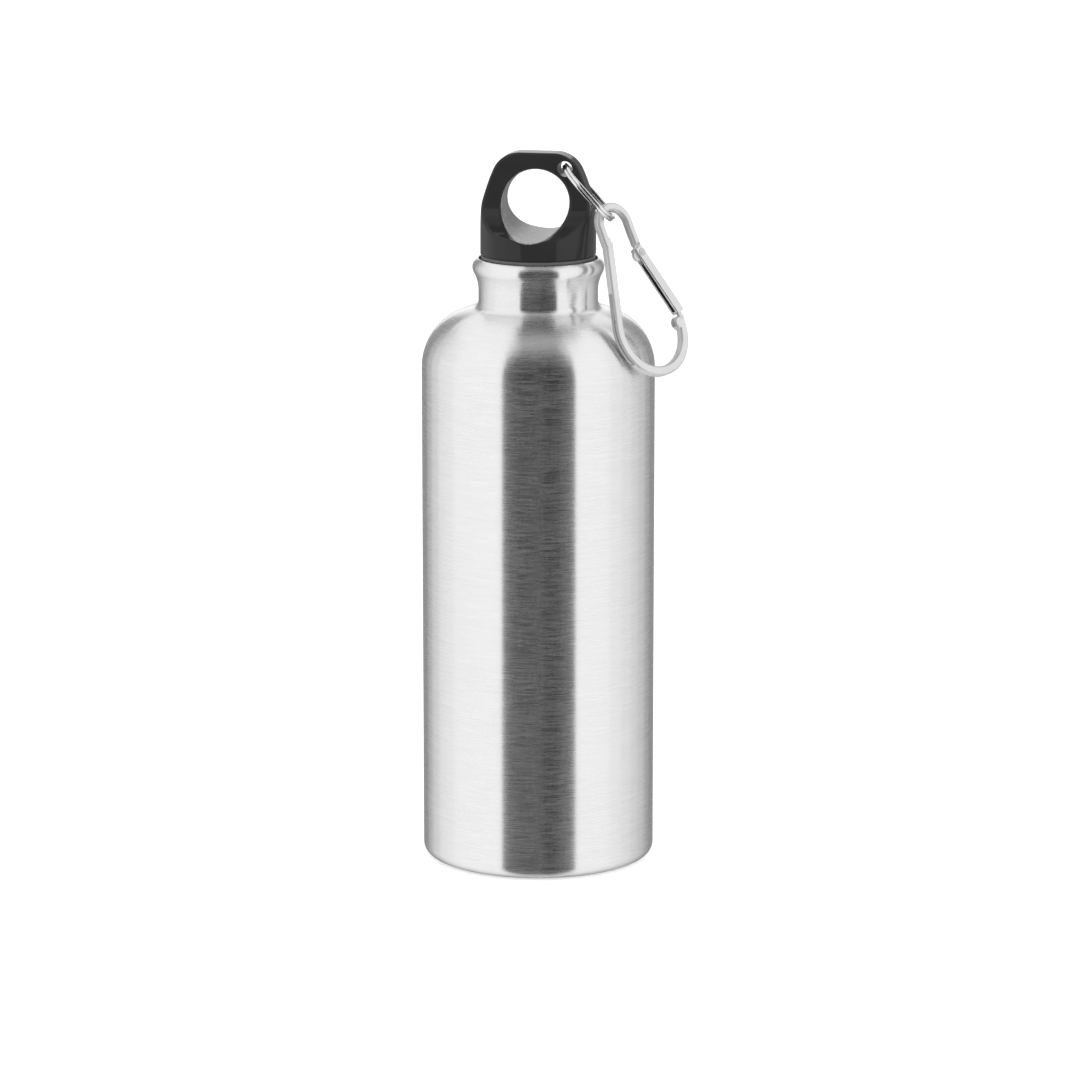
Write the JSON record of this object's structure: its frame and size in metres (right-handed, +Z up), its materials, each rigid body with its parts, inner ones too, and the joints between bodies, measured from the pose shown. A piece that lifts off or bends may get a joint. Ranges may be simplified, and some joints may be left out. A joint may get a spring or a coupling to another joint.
{
  "type": "canteen",
  "caption": "Tall single-wall steel bottle with a black screw cap, a finger-hole carrying loop, and a snap hook hung from a split ring.",
  "frame": {"origin": "on the bottle's axis, at the level of its flat foot, in the mouth of the recess under the base", "axes": "+Z up the bottle's axis to the cap, +X towards the side where the snap hook hangs, -Y towards the cap loop's front"},
  "size_m": [0.0831, 0.073, 0.2242],
  "materials": {
    "steel": "brushed round the body, clear coated",
    "sleeve_steel": "plain rolled",
    "cap_black": "polished moulding",
    "plug_black": "satin moulding",
    "seal": "matte silicone",
    "ring_chrome": "polished nickel plate",
    "hook_grey": "fine matte anodised",
    "gate_grey": "fine matte anodised, polished edges",
    "pin_steel": "rolled wire and rod"
  },
  "bodies": {
    "bottle": {"bottle_shell": "steel", "bottle_base": "steel", "neck_sleeve": "sleeve_steel"},
    "seal": {"seal_ring": "seal"},
    "cap": {"cap_body": "cap_black", "cap_plug": "plug_black"},
    "ring": {"split_ring": "ring_chrome"},
    "hook": {"hook_body": "hook_grey"},
    "gate": {"hook_gate": "gate_grey", "gate_pin": "pin_steel", "gate_spring": "pin_steel", "gate_plunger": "pin_steel"}
  },
  "joints": [
    {"name": "cap_lift", "type": "slide", "parent": "bottle", "child": "seal", "axis": [0, 0, 1], "range_m": [0, 0.015]},
    {"name": "cap_turn", "type": "hinge", "parent": "seal", "child": "cap", "pos_m": [0, 0, 0.19225], "axis": [0, 0, 1], "range_deg": [0, 1080]},
    {"name": "ring_swing", "type": "hinge", "parent": "cap", "child": "ring", "pos_m": [0.00884, -0.00169, 0.21945], "axis": [-0.1874, -0.9823, 0], "range_deg": [0, 150]},
    {"name": "hook_swing", "type": "hinge", "parent": "ring", "child": "hook", "pos_m": [0.02168, -0.00717, 0.20449], "axis": [-0.1795, -0.9641, 0.1958], "range_deg": [0, 80]},
    {"name": "gate_open", "type": "hinge", "parent": "hook", "child": "gate", "pos_m": [0.03131, -0.00466, 0.19309], "axis": [-0.6169, 0.6868, -0.3844], "range_deg": [0, 30], "stiffness_Nm_per_rad": 0.01, "springref_deg": -17.19}
  ],
  "couplings": [
    {"joint": "cap_lift", "follows": "cap_turn", "m_per_rad": 0.00079577}
  ]
}
